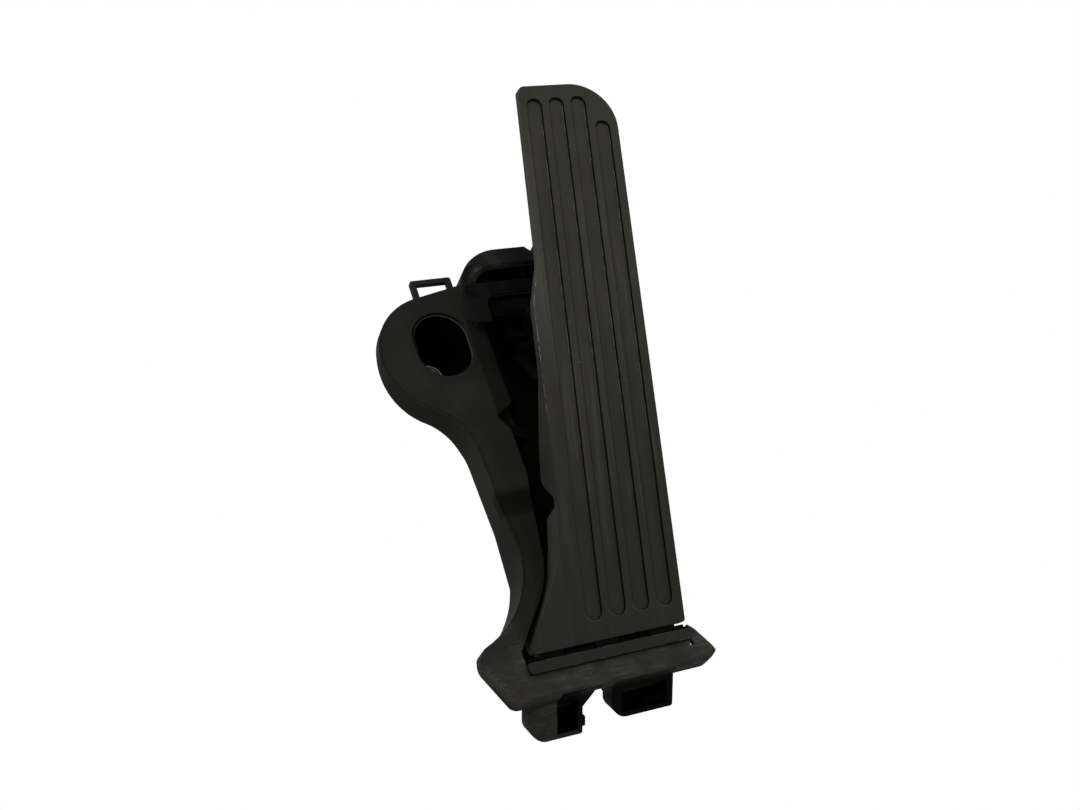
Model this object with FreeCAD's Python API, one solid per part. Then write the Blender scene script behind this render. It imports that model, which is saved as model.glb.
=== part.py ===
import FreeCAD, Part

import math
import os

V = FreeCAD.Vector

# Accelerator pedal module, in millimetres.
# The origin is the centre of the upper fixing sleeve's rear face, on the mounting wall (the XZ plane).
# +X is to the right, +Y goes forward into the mounting wall, +Z goes up along it; the driver's side is -Y.

# Fits
running_fit = 0.05
seat_fit = 0.02
rest_gap = 0.35

# Housing skin
ear_front = -32.0
flange_front = -38.0
crease_top = -74.0
crease_radius = 7.0
crease_foot = -118.0
skin_wall = 2.8
ear_radius = 28.0
ear_drop = -3.4
ear_top_slope = math.radians(11.0)
waist_radius = 26.0
arm_left = -1.0
arm_foot_left = 2.4
ear_back = -26.5
ear_inner = 12.6
ear_inner_top = 17.4
ear_inner_bend = 11.0
arm_back = -17.0
flange_back = -30.0
flange_bevel_depth = 3.0
lobe_bevel = 5.0
low_bevel = 1.2
flange_bottom = -153.5
flange_left = -30.6
flange_right = 65.7
sweep_radius = 40.0

# Upper fixing
access_width = 22.4
access_height = 29.0
access_wall = 2.4
access_z = 0.6
access_foot_width = 16.0
access_chamfer = 0.8
seat_thickness = 6.0
sleeve_outer = 6.0
sleeve_bore = 4.2
sleeve_length = 6.6

# Lever box
box_left = 18.5
box_right = 64.0
box_top = 48.1
box_wall = 2.6
box_corner = 21.4
box_floor = -46.0
throat_front = -20.0
throat_left = 30.0
throat_top = 15.0
throat_bottom = -40.0
hood_front = -31.6
hood_bevel_back = -26.0
hood_rim_top = 35.7
hood_rim_corner = 14.0
step_top = 21.4
screen_front = -22.4
screen_foot = 27.4
ledge_front = -32.0
ledge_back = -30.4
ledge_top = 28.0
throat_corner = 5.5
panel_left = 18.6
panel_right = 25.0
panel_foot = 9.0
screen_posts = (46.5, 51.0)

# Tread plate, measured on its own face
plate_length = 228.0
plate_toe_out = math.radians(8.25)
plate_lean = 12.71
plate_left = 21.1
plate_mid_left = 17.3
plate_right = 65.6
plate_skin = 2.5
plate_wall = 2.2
plate_top_radius = 18.6
plate_corner = (-9.8, -38.0, -136.7)
groove_count = 4
groove_first = 27.6
groove_pitch = 10.1
groove_radius = 3.36
groove_depth = 0.9
groove_top = 222.2
groove_top_short = 210.4
groove_foot = 7.8
cross_ribs = 6
cross_rib_first = 20.0
cross_rib_pitch = 36.0
plate_travel = 12.5

# Hinge
hinge_drop = 3.5
hinge_depth = 2.8
hinge_pin_radius = 1.5
knuckle_radius = 2.5
knuckle_width = 10.0
knuckle_count = 3
lug_half = 2.3
hinge_left = -10.0
hinge_right = 54.0
strip_top = -139.8
strip_bottom = -144.0
strip_left = -12.2
strip_right = 55.4
strip_thickness = 2.6
strip_seat = 1.0

# Return lever
lever_x = 46.0
lever_y = -24.0
lever_z = 18.0
shaft_radius = 3.0
hub_radius = 6.0
hub_width = 27.0
hub_play = 0.6
lever_width = 8.0
tip_half = 2.9
shoe_radius = 4.5
shoe_z = -26.0
shoe_width = 10.0
pad_depth = 22.0
pad_width = 14.0
pad_thickness = 1.2
pad_peg_side = 3.4
bush_radius = 4.6

# Return springs
spring_y = -11.8
spring_seat_top = 22.0
spring_seat_half = 8.4
spring_seat_corner = 4.0
spigot_rib = 1.6
spring_outer_radius = 7.0
spring_outer_wire = 0.8
spring_outer_turns = 5.0
spring_inner_radius = 4.4
spring_inner_wire = 0.55
spring_inner_turns = 6.5
spring_flats = 4
spring_steps = 8
spigot_gap = 0.4
peg_side = 4.4
cap_thickness = 6.0

# Stops
buffer_radius = 6.0
buffer_nose_radius = 4.6
buffer_z = -54.0
buffer_shelf_front = -22.0
idle_pad_thickness = 2.4

# Position sensor
cover_depth = 10.0
cover_wall = 1.6
cover_front = -29.8
cover_back = -1.5
cover_bottom = -6.0
cover_top = 38.0
cover_corner = 2.5
seal_thickness = 0.8
board_thickness = 1.6
socket_width = 9.0
socket_depth = 22.0
socket_height = 19.0
socket_wall = 1.4
pin_count = 6
pin_pitch = 2.8
pin_side = 0.64
screw_head_radius = 2.6
screw_head_height = 1.8
screw_shank_radius = 1.2

# Floor claws
claw_tilt = 46.5
claw_depth = 9.0
claw_root = 6.0
claw_left_x = (-12.2, 8.6)
claw_left_length = 15.6
claw_right_x = (21.6, 47.1)
claw_right_length = 13.2
claw_wall = 1.8
claw_pocket = 8.6

# Cable guide
guide_front = -27.0
guide_back = -24.6
guide_left = -3.4
guide_right = 14.9
guide_top = 35.8
guide_bar = 2.3

# Lightening and ribs
rib = 1.8
tiny = 0.01


def at(plane, a, b, c):
    """Point with in-plane coordinates a, b and height c: the planes are xz, yz and xy."""
    if plane == "xz":
        return V(a, c, b)
    if plane == "yz":
        return V(c, a, b)
    return V(a, b, c)


def outline(points, plane, height):
    """Closed face through points (a, b, corner radius), each corner rounded by a tangent arc."""
    count = len(points)
    corners = []
    for i, (a, b, radius) in enumerate(points):
        here = at(plane, a, b, height)
        if radius == 0:
            corners.append((here, None, here))
            continue
        before = at(plane, points[i - 1][0], points[i - 1][1], height)
        after = at(plane, points[(i + 1) % count][0], points[(i + 1) % count][1], height)
        back = (before - here).normalize()
        ahead = (after - here).normalize()
        half = back.getAngle(ahead) / 2
        inward = (back + ahead).normalize()
        reach = radius / math.tan(half)
        middle = here + inward * (radius / math.sin(half) - radius)
        corners.append((here + back * reach, middle, here + ahead * reach))
    edges = []
    for i, (start, middle, end) in enumerate(corners):
        if middle is not None:
            edges.append(Part.Arc(start, middle, end).toShape())
        following = corners[(i + 1) % count][0]
        if end.distanceToPoint(following) > 1e-5:
            edges.append(Part.LineSegment(end, following).toShape())
    return Part.Face(Part.Wire(edges))


def prism(points, plane, low, high):
    """Solid swept from low to high, square to the plane of its rounded outline."""
    face = outline(points, plane, low)
    return face.extrude(at(plane, 0, 0, high - low))


def block(x0, x1, y0, y1, z0, z1):
    """Upright box between two corners."""
    return Part.makeBox(x1 - x0, y1 - y0, z1 - z0, V(x0, y0, z0))


def rod(start, end, radius):
    """Round bar from one point to another."""
    axis = end - start
    return Part.makeCylinder(radius, axis.Length, start, axis)


def cross_rod(x0, x1, y, z, radius):
    """Round bar along X."""
    return rod(V(x0, y, z), V(x1, y, z), radius)


def slot_points(centre_x, centre_z, width, height):
    """Outline of an upright slot with round ends."""
    half = width / 2
    top = centre_z + height / 2
    foot = centre_z - height / 2
    ends = half - tiny
    return [(centre_x - half, top, ends), (centre_x - half, foot, ends),
            (centre_x + half, foot, ends), (centre_x + half, top, ends)]


def stadium(centre_x, centre_z, width, height, y0, y1):
    """Upright slot shape with round ends, swept along Y."""
    return prism(slot_points(centre_x, centre_z, width, height), "xz", y0, y1)


def inset(face, distance):
    """The same outline, drawn in by a distance; a narrow neck can split it into several faces."""
    return Part.makeCompound(face.makeOffset2D(-distance).Faces)


def fused(shapes):
    """One solid from touching shapes, with the seams removed."""
    whole = shapes[0].multiFuse(shapes[1:])
    return whole.removeSplitter()


def tapered_slot(width0, width1, rise, middle_z, y0, y1):
    """Upright slot shape that narrows along Y: two cones and the wedge between them."""
    length = y1 - y0
    cones = [Part.makeCone(width0 / 2, width1 / 2, length, V(0, y0, middle_z + lift), V(0, 1, 0))
             for lift in (-rise / 2, rise / 2)]
    wires = []
    for width, y in ((width0, y0), (width1, y1)):
        half = width / 2
        corners = [V(-half, y, middle_z - rise / 2), V(half, y, middle_z - rise / 2),
                   V(half, y, middle_z + rise / 2), V(-half, y, middle_z + rise / 2)]
        wires.append(Part.makePolygon(corners + corners[:1]))
    wedge = Part.makeLoft(wires, True, True)
    return fused([wedge] + cones)


def tapered(front, back, y0, y1):
    """Solid between two upright outlines with equal corners, from one depth to another."""
    near = outline(front, "xz", y0).OuterWire
    far = outline(back, "xz", y1).OuterWire
    return Part.makeLoft([near, far], True, True)


def coil(radius, wire, turns, low, high):
    """Helix of spring wire about Z between two heights, with a few flats round the wire and along each turn."""
    climb = (high - low - 2 * wire) / turns
    sections = []
    for i in range(round(spring_steps * turns) + 1):
        turn = 2 * math.pi * i / spring_steps
        outward = V(math.cos(turn), math.sin(turn), 0)
        centre = outward * radius + V(lever_x, spring_y, low + wire + climb * i / spring_steps)
        ring = []
        for j in range(spring_flats):
            lift = 2 * math.pi * j / spring_flats
            ring.append(centre + outward * (wire * math.cos(lift)) + V(0, 0, wire * math.sin(lift)))
        sections.append(Part.makePolygon(ring + ring[:1]))
    return Part.makeLoft(sections, True, True)


# Places that follow from the sizes
lean = math.radians(plate_lean)
lean_shift = math.tan(plate_toe_out)
corner = V(*plate_corner)
hinge_y = corner.y + hinge_depth * math.cos(lean) + hinge_drop * math.sin(lean)
hinge_z = corner.z + hinge_depth * math.sin(lean) - hinge_drop * math.cos(lean)
shoe_depth = pad_depth + shoe_radius + rest_gap
shoe_y = corner.y + (shoe_depth - (shoe_z - corner.z) * math.sin(lean)) / math.cos(lean)
shoe_s = (shoe_z - corner.z) * math.cos(lean) - (shoe_y - corner.y) * math.sin(lean)
lever_reach = math.hypot(shoe_y - lever_y, shoe_z - lever_z)
lever_angle = math.degrees(math.atan2(lever_y - shoe_y, lever_z - shoe_z))
hub_left = lever_x - hub_width / 2
hub_right = lever_x + hub_width / 2
bush_length = box_right - hub_right - hub_play
bush_left = hub_left - hub_play - bush_length
bush_right = hub_right + hub_play
cap_low = box_top - box_wall - cap_thickness
ledge_foot = step_top


def across(offset, height):
    """Sideways place on the plate of a line that leans with its grooves."""
    return offset + lean_shift * height


def on_plate(shape):
    """Sets a shape drawn in the plate's own frame (z up the face, y behind it) in its rest place."""
    shape.rotate(V(0, 0, 0), V(1, 0, 0), plate_lean)
    shape.translate(corner)
    return shape


# Front outline of the housing

def front_points():
    """Ear, arm and floor flange: circles of ear and waist meet on a common tangent."""
    gap_x = arm_left - waist_radius
    waist_z = ear_drop - math.sqrt((ear_radius + waist_radius) ** 2 - gap_x ** 2)
    turn = math.atan2(-gap_x, ear_drop - waist_z)
    touch_x = -ear_radius * math.sin(turn)
    touch_z = ear_drop - ear_radius * math.cos(turn)
    fall = math.tan(turn)
    left_x = -ear_radius
    left_z = touch_z + (touch_x - left_x) * fall
    waist_corner_z = touch_z - (arm_left - touch_x) * fall
    top_x = -ear_radius * math.sin(ear_top_slope)
    top_z = ear_drop + ear_radius * math.cos(ear_top_slope)
    rise = math.tan(ear_top_slope)
    upper_z = top_z - (top_x - left_x) * rise
    return [(left_x, upper_z, ear_radius - tiny),
            (left_x, left_z, ear_radius - tiny),
            (arm_left, waist_corner_z, waist_radius - tiny),
            (arm_foot_left, -118.4, sweep_radius),
            (flange_left, -131.9, 7.0),
            (-20.0, flange_bottom, 4.0),
            (60.6, flange_bottom + 0.5, 5.0),
            (flange_right, -149.2, 3.0),
            (59.6, -139.3, 3.5),
            (strip_right + 0.6, -137.9, 0),
            (strip_right + 0.6, strip_top - 0.8, 0),
            (strip_left - 0.2, strip_top - 0.8, 0),
            (strip_left - 0.2, -134.6, 1.0),
            (8.4, -106.5, 45.0),
            (12.4, -84.0, 20.0),
            (16.4, -62.0, 12.0),
            (16.2, -42.0, 2.0),
            (ear_inner, -36.0, 1.5),
            (ear_inner, ear_inner_bend, 0),
            (ear_inner_top, top_z + (ear_inner_top - top_x) * rise, 0)]


def skin_side(shift, back_shift):
    """Side view of the skin: the crease tips the arm's face forward towards the flange."""
    front = ear_front + shift
    low = flange_front + shift
    return [(front, 60.0, 0), (front, crease_top, crease_radius), (low, crease_foot, 30.0), (low, -170.0, 0),
            (flange_back + back_shift, -170.0, 0), (flange_back + back_shift, -133.0, 0),
            (arm_back + back_shift, -118.0, 0), (arm_back + back_shift, -42.0, 0),
            (ear_back + back_shift, 0.0, 0), (ear_back + back_shift, 60.0, 0)]


def bevel_wedge(start, end, breadth, depth):
    """Cutter that bevels the flange's front edge between two outline corners."""
    along = V(end[0] - start[0], 0, end[1] - start[1])
    length = along.Length
    along.normalize()
    outward = V(along.z, 0, -along.x)
    base = V(start[0], flange_front, start[1]) - along * 3.0
    slope = depth / breadth
    corners = [base + outward + V(0, -1, 0), base - outward * (breadth + 1 / slope) + V(0, -1, 0),
               base + outward + V(0, depth + slope, 0)]
    face = Part.Face(Part.makePolygon(corners + corners[:1]))
    return face.extrude(along * (length + 6.0))


def flange_bevels():
    """Broad bevels on the flange's two lobes, a narrow one below, and the cone along the arm's sweep."""
    points = front_points()
    widths = {4: lobe_bevel, 5: low_bevel, 6: low_bevel, 7: lobe_bevel / 2}
    cutters = [bevel_wedge(points[i], points[i + 1], wide, min(wide, flange_bevel_depth))
               for i, wide in widths.items()]
    turn = math.atan2(points[3][0] - points[4][0], points[3][1] - points[4][1])
    centre = V(arm_foot_left - sweep_radius, flange_front, points[3][1] + sweep_radius * math.tan(turn / 2))
    cutters.append(Part.makeCone(sweep_radius + lobe_bevel, sweep_radius, flange_bevel_depth, centre, V(0, 1, 0)))
    return cutters


def skin():
    """Moulded front skin: outline and side view crossed, hollowed from behind."""
    far = 80.0
    face = outline(front_points(), "xz", -far)
    outer = face.extrude(V(0, far, 0))
    outer = outer.common(prism(skin_side(0, 0), "yz", -far, far))
    for cutter in flange_bevels():
        outer = outer.cut(cutter)
    inner = inset(face, skin_wall).extrude(V(0, far, 0))
    inner = inner.common(prism(skin_side(skin_wall, 5.0), "yz", -far, far))
    return outer.cut(inner)


def box_points():
    """Front outline of the box, with its rounded left shoulder and the chamfer on its right one."""
    return [(box_left, box_top, box_corner), (54.0, box_top, 1.0), (59.0, box_top - 5.3, 1.0),
            (box_right, box_top - 5.3, 0), (box_right, box_floor, 0), (box_left, box_floor, 0)]


def hood_points():
    """Outline of the hood's front face, drawn in from the box by the broad bevel."""
    top = hood_rim_top + 1.4
    return [(box_left + 1.2, top, hood_rim_corner + 1.2), (54.0, top, 1.0), (59.0, top - 1.0, 1.0),
            (box_right - 1.2, top - 1.0, 0), (box_right - 1.2, box_floor, 0), (box_left + 1.2, box_floor, 0)]


def lever_box():
    """Box for lever and springs: bevelled hood over a recess, an apron below it and the throat wall."""
    face = outline(box_points(), "xz", hood_bevel_back)
    outer = face.extrude(V(0, -hood_bevel_back, 0))
    outer = outer.fuse(tapered(hood_points(), box_points(), hood_front, hood_bevel_back))
    rear = inset(face, box_wall)
    hollow = rear.extrude(V(0, -hood_bevel_back - box_wall, 0))
    front = inset(outline(hood_points(), "xz", hood_front - 1), box_wall - 1)
    hollow = hollow.fuse(front.extrude(V(0, hood_bevel_back - hood_front + 1 + tiny, 0)))
    below = block(box_left - 1, box_right + 1, hood_front - 2, throat_front, box_floor - 1, step_top)
    shell = outer.cut(hollow).cut(below)
    wall = block(box_left, box_right, throat_front, throat_front + box_wall, box_floor, step_top)
    throat = prism([(throat_left, step_top + 9.0, 0), (box_right - box_wall - 1, step_top + 9.0, 0),
                    (box_right - box_wall - 1, throat_bottom, 0), (throat_left + 2, throat_bottom, 0)],
                   "xz", hood_front - 1, throat_front + box_wall + 1)
    shell = shell.fuse(wall.cut(throat))
    front_face = outline(hood_points(), "xz", hood_front)
    rim = outline([(box_left + 2.4, hood_rim_top, hood_rim_corner), (57.0, hood_rim_top, 2.0),
                   (57.0, step_top - 5, 0), (box_left + 2.4, step_top - 5, 0)], "xz", hood_front)
    brow = front_face.cut(rim).extrude(V(0, 2.4, 0))
    brow = brow.cut(below)
    screen = block(box_left + 2, box_right - 1, screen_front, screen_front + 1.6, screen_foot, box_top - 2)
    screen = screen.common(outer)
    posts = [block(x, x + rib, hood_front + 3.0, screen_front + 1, ledge_top + 2.0, hood_rim_top + 4).common(outer)
             for x in screen_posts]
    return fused([shell, brow, screen] + posts)


def throat_frame():
    """Apron over the throat and the panel beside it, one wall with a round inner corner."""
    points = [(panel_left, ledge_top, 0), (box_right - 0.5, ledge_top, 0), (box_right - 0.5, ledge_foot, 0),
              (panel_right, ledge_foot, throat_corner), (panel_right, panel_foot, 0), (panel_left, panel_foot, 0)]
    wall = prism(points, "xz", ledge_front, ledge_back)
    floor = block(box_left, box_right - 1, ledge_back - 0.5, screen_front + 1, ledge_top - rib, ledge_top)
    cheek = block(box_left, box_left + box_wall, ledge_front, throat_front + 1, panel_foot, ledge_top)
    other = block(box_right - box_wall, box_right, ledge_back - 0.5, throat_front + 1, ledge_foot, ledge_top)
    return fused([wall, floor, cheek, other])


def throat_cheek():
    """Slanted wall from the arm's inner edge down to the left side of the throat, cut off aslant below."""
    left = ear_inner - 1.0
    top = panel_foot + 3.0
    outer = prism([(left, ear_front, 0), (left + 1.2, ear_front, 0), (throat_left, throat_front, 0),
                   (throat_left, -4.0, 0), (left, -4.0, 0)], "xy", -38.0, top)
    inner = prism([(left - 1, ear_front + 3.6, 0), (left + 0.4, ear_front + 3.6, 0),
                   (throat_left - box_wall, throat_front + 1.6, 0), (throat_left - box_wall, 1.0, 0),
                   (left - 1, 1.0, 0)], "xy", -38.0 + box_wall, top - box_wall)
    aslant = prism([(left + 0.6, -35.0, 0), (left - 1, -35.0, 0), (left - 1, -39.0, 0), (throat_left + 1, -39.0, 0),
                    (throat_left + 1, -20.5, 0)], "xz", ear_front - 1, throat_front + 3.0)
    web = prism([(left, ear_front + 1.0, 0), (left + 1.6, ear_front + 1.0, 0), (throat_left + 2, throat_front + 3.4, 0),
                 (throat_left + 2, throat_front + 5.0, 0), (throat_left, throat_front + 5.0, 0)],
                "xy", -42.0, -36.6)
    return fused([outer.cut(inner).cut(aslant), web])


def trough():
    """Pan behind the plate's foot: it joins box, arm and flange, ribbed from behind."""
    points = [(7.0, box_floor + 2.4, 0), (box_right, box_floor + 2.4, 0), (60.0, -137.0, 0),
              (-12.0, -137.0, 0), (4.2, -104.0, 0)]
    face = outline(points, "xz", -20.5)
    outer = face.extrude(V(0, 14.5, 0))
    inner = inset(face, 2.4)
    inner.translate(V(0, 2.6, 0))
    pan = outer.cut(inner.extrude(V(0, 20, 0)))
    ribs = []
    for x in (22.0, 34.0, 46.0):
        ribs.append(block(x, x + rib, -18.5, -8.0, -135.0, box_floor + 6))
    for z in (-118.0, -98.0, -78.0, -60.0):
        ribs.append(block(8.0 if z > -110 else -2.0, 60.0, -18.5, -8.0, z, z + rib))
    grid = ribs[0].multiFuse(ribs[1:]).common(outer)
    return fused([pan, grid])


def access_tube(grow, y0, y1):
    """Tool tube's inside, grown by a wall: it narrows from the ear's face to the bolt seat."""
    return tapered_slot(access_width + 2 * grow, access_foot_width + 2 * grow, access_height - access_width,
                        access_z, y0, y1)


def upper_fixing():
    """Tool tube from the ear's face down to the bolt seat, tied to the lever box."""
    tube = access_tube(access_wall, ear_front + 1, -seat_thickness)
    seat = stadium(0, access_z, access_foot_width + 2 * access_wall,
                   access_foot_width + 2 * access_wall + access_height - access_width, -seat_thickness, 0)
    tie = prism([(-5.0, 12.0, 0), (box_left + 3, 24.0, 0), (box_left + 3, -30.0, 0), (9.0, -22.0, 0),
                 (-5.0, -8.0, 0)], "xz", -4.0, 0)
    webs = [block(-rib / 2, rib / 2, ear_front + 1, -22.0, -29.0, -12.0),
            block(-25.0, -11.0, ear_front + 1, -27.5, 0.0, rib),
            block(-19.0, -9.0, ear_front + 1, -27.0, -14.0, -14.0 + rib)]
    return tube, seat, tie, webs


def access_hole():
    """Slot for the bolt and its driver, with a softened mouth."""
    mouth = access_width + 2 * access_chamfer
    hole = access_tube(0, ear_front, -seat_thickness)
    wide = tapered_slot(mouth + 0.2, access_width, access_height - access_width, access_z,
                        ear_front - 0.1, ear_front + access_chamfer)
    return hole, wide


def claw(x0, x1, length, corner_radius, foot_radius):
    """Floor hook in its own upright frame: a cup with a round outer corner, hanging from its root at z = 0."""
    plan = prism([(x0, 0, corner_radius), (x1, 0, 0), (x1, claw_depth, 0), (x0, claw_depth, 0)],
                 "xy", -length, claw_root)
    side = prism([(x0, claw_root, 0), (x0, -length, foot_radius), (x1, -length, 1.0), (x1, claw_root, 0)],
                 "xz", -1, claw_depth + 1)
    return plan.common(side)


def hung(shape):
    """Swings a hook from its upright frame into the floor's direction, under the flange's rear edge."""
    shape.rotate(V(0, 0, 0), V(1, 0, 0), claw_tilt)
    shape.translate(V(0, flange_back, flange_bottom))
    return shape


def claws():
    """Both floor hooks with their pockets, the small rib in the left one, its outer nib and web."""
    left_low, left_high = claw_left_x
    right_low, right_high = claw_right_x
    pocket_right = left_high - claw_wall
    pocket_left = pocket_right - claw_pocket
    left = claw(left_low, left_high, claw_left_length, 6.0, 6.0)
    left = left.cut(block(pocket_left, pocket_right, -1, claw_depth - claw_wall, claw_wall - claw_left_length, -1.6))
    gusset = prism([(pocket_left, -claw_left_length + 1, 0), (pocket_left + 5.5, -claw_left_length + 1, 0),
                    (pocket_left, -claw_left_length + 6.5, 0)], "xz", claw_depth - 3.6, claw_depth - 1)
    nib = block(left_high - 0.5, left_high + 1.4, 0.6, 4.0, 2.6 - claw_left_length, 6.4 - claw_left_length)
    web = prism([(left_high - 0.5, claw_root, 0), (left_high - 0.5, -6.6, 0), (left_high + 6.0, 0.2, 0),
                 (left_high + 6.0, claw_root, 0)], "xz", 1.4, 3.2)
    right = claw(right_low, right_high, claw_right_length, 1.5, 6.0)
    right = right.cut(block(right_low + 3.4, right_high - 2.8, -1, claw_depth - claw_wall,
                            claw_wall - claw_right_length, -1.6))
    step = block(right_high - 10.4, right_high - 2.0, 2.6, claw_depth - 1, 0.6 - claw_right_length,
                 4.8 - claw_right_length)
    return [hung(piece) for piece in (left, gusset, nib, web, right, step)]


def knuckle_places():
    """Left ends of the plate's hinge knuckles, spread evenly along the hinge."""
    room = hinge_right - hinge_left - 8.0
    pitch = (room - knuckle_width) / (knuckle_count - 1)
    return [hinge_left + 4.0 + i * pitch for i in range(knuckle_count)]


def hinge_well():
    """Room in the flange for the plate's knuckles and foot, and the strip's shallow seat."""
    well = block(hinge_left, hinge_right, flange_front - 2, hinge_y + knuckle_radius + 1.6,
                 strip_bottom + 1.2, strip_top + 8)
    seat = block(strip_left - 0.15, strip_right + 0.15, flange_front - 2, flange_front + strip_seat,
                 strip_bottom - 0.15, strip_top + 3)
    return well.fuse(seat)


def hinge_lugs():
    """Lugs between the knuckles that carry the hinge pin."""
    places = knuckle_places()
    side_gap = 0.5
    lugs = []
    edges = [hinge_left - 1.0]
    for x in places:
        edges += [x - side_gap, x + knuckle_width + side_gap]
    edges.append(hinge_right + 1.0)
    for low, high in zip(edges[0::2], edges[1::2]):
        lugs.append(block(low, high, hinge_y - lug_half, hinge_y + knuckle_radius + 2.4,
                          strip_bottom + 0.6, hinge_z + lug_half))
    return lugs


def pan_foot():
    """Wall that joins the pan's foot to the back of the flange."""
    return prism([(flange_back - 3, -152.0, 0), (flange_back + 1, -152.0, 0), (-12.0, -139.0, 0),
                  (-12.0, -134.5, 0), (-20.5, -134.5, 0), (flange_back - 1, -143.0, 0)], "yz", -6.0, 58.0)


def buffer_shelf():
    """Cross wall under the throat that carries the end buffer."""
    return prism([(-18.0, -47.5, 0), (buffer_shelf_front, -47.5, 1.0), (buffer_shelf_front, -61.0, 1.0),
                  (-18.0, -63.0, 0)], "yz", 27.0, box_right - 1)


def module_housing():
    """The moulded housing with every seat for the pieces that it carries."""
    tube, seat, tie, webs = upper_fixing()
    boss = bush_radius + 1.6
    bosses = [block(low, high, lever_y - boss, throat_front + 2.0, lever_z - boss, lever_z + boss)
              for low, high in ((box_left + 1, hub_left - hub_play), (bush_right, box_right))]
    shelf = block(lever_x - 9.0, lever_x + 9.0, -15.4, -1.0, lever_z - 11.0, lever_z - 8.6)
    pieces = [skin(), lever_box(), throat_frame(), throat_cheek(), trough(), tube, seat, tie, pan_foot(),
              buffer_shelf(), shelf]
    body = fused(pieces + webs + bosses + claws())
    body = body.cut(hinge_well())
    body = fused([body] + hinge_lugs())
    cuts = [rod(V(0, -seat_thickness - 1, 0), V(0, 1, 0), sleeve_outer + seat_fit),
            cross_rod(hinge_left - 2.0, hinge_right + 2.0, hinge_y, hinge_z, hinge_pin_radius + seat_fit),
            cross_rod(bush_left, box_right + 1, lever_y, lever_z, bush_radius + seat_fit),
            rod(V(55.2, flange_front - 1, -145.4), V(55.2, flange_back + 4, -145.4), 1.0),
            rod(V(lever_x, buffer_shelf_front - 1, buffer_z), V(lever_x, -17.0, buffer_z), 2.2 + seat_fit),
            block(8.6, 16.6, flange_front + 5.0, flange_back + 1, flange_bottom - 1, flange_bottom + 1.8)]
    for x in (guide_left, guide_right - guide_bar):
        cuts.append(block(x - seat_fit, x + guide_bar + seat_fit, guide_front - seat_fit, guide_back + seat_fit,
                          21.0, 32.0))
    for y, z in screw_places():
        cuts.append(cross_rod(box_right - 5.0, box_right + 1, y, z, screw_shank_radius + seat_fit))
    for hole in access_hole():
        body = body.cut(hole)
    return body.cut(cuts[0].multiFuse(cuts[1:]))


# Tread plate

def plate_points():
    """Face outline: it leans with the grooves, and its foot flares out to the left."""
    top = plate_length
    return [(0.0, 0.0, 1.5), (plate_right, 0.0, 1.5), (across(plate_right - 0.4, top), top, plate_top_radius),
            (across(plate_left, top), top, 3.0), (across(plate_left, 151.0), 151.0, 14.0),
            (across(plate_mid_left, 134.0), 134.0, 14.0), (across(plate_mid_left + 0.8, 52.0), 52.0, 6.0),
            (21.0, 30.5, 50.0)]


def plate_side():
    """Depth of the plate's side walls along its length: a deep foot, a rounded lobe and a thin top."""
    return [(-1.0, -2.0, 0), (4.0, -2.0, 0), (4.2, 1.5, 1.0), (12.6, 6.5, 2.0), (13.4, 30.0, 20.0),
            (12.4, 50.6, 1.5), (3.8, 53.2, 0.8), (3.8, 56.6, 0.8), (14.6, 65.0, 4.5), (12.0, 80.0, 12.0),
            (4.2, 106.0, 20.0), (3.4, 160.0, 30.0), (3.4, plate_length + 2, 0), (-1.0, plate_length + 2, 0)]


def rib_side():
    """Side view of the back ribs, a little lower than the side walls and straight between its corners."""
    return [(-1.0, -2.0, 0), (3.4, -2.0, 0), (3.6, 2.0, 0), (11.6, 7.6, 0), (12.4, 20.0, 0), (11.6, 49.4, 0),
            (3.2, 52.4, 0), (3.2, 57.4, 0), (12.4, 66.0, 0), (11.0, 78.0, 0), (4.4, 102.0, 0),
            (2.8, 130.0, 0), (2.8, plate_length + 2, 0), (-1.0, plate_length + 2, 0)]


def groove(index):
    """One recess of the tread, a long slot that leans with the plate."""
    offset = groove_first + index * groove_pitch
    top = groove_top_short if index == groove_count - 1 else groove_top
    slot = stadium(0, 0, 2 * groove_radius, (top - groove_foot) / math.cos(plate_toe_out), -1, groove_depth)
    slot.rotate(V(0, 0, 0), V(0, 1, 0), math.degrees(plate_toe_out))
    middle = (top + groove_foot) / 2
    slot.translate(V(across(offset, middle), 0, middle))
    return slot


def plate_ribs():
    """Back ribs: along the lands between the grooves, and evenly spaced ones across."""
    ribs = []
    for i in range(groove_count - 1):
        offset = groove_first + (i + 0.5) * groove_pitch
        bar = block(-rib / 2, rib / 2, plate_skin - 0.5, 12.0, 2.0, 218.0)
        bar.rotate(V(0, 0, 0), V(0, 1, 0), math.degrees(plate_toe_out))
        bar.translate(V(offset, 0, 0))
        ribs.append(bar)
    for i in range(cross_ribs):
        z = cross_rib_first + i * cross_rib_pitch
        ribs.append(block(-5.0, 110.0, plate_skin - 0.5, 12.0, z, z + rib))
    return ribs


def push_block():
    """Hollow block behind the plate whose end presses the lever's shoe."""
    middle = lever_x - corner.x
    low = shoe_s - 7.0
    high = shoe_s + 9.4
    half = pad_width / 2
    top = pad_depth - pad_thickness
    outer = prism([(plate_skin - 0.5, low - 6.0, 0), (plate_skin - 0.5, high + 6.0, 0), (top, high, 1.0),
                   (top, low, 1.0)], "yz", middle - half, middle + half)
    inner = block(middle - half + 1.8, middle + half - 1.8, plate_skin, top - 2.4, low - 20.0, high + 20.0)
    stud = block(middle - 3.4, middle + 3.4, top - 3.0, top, shoe_s - 1.9, shoe_s + 4.9)
    return outer.cut(inner).fuse(stud)


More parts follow.
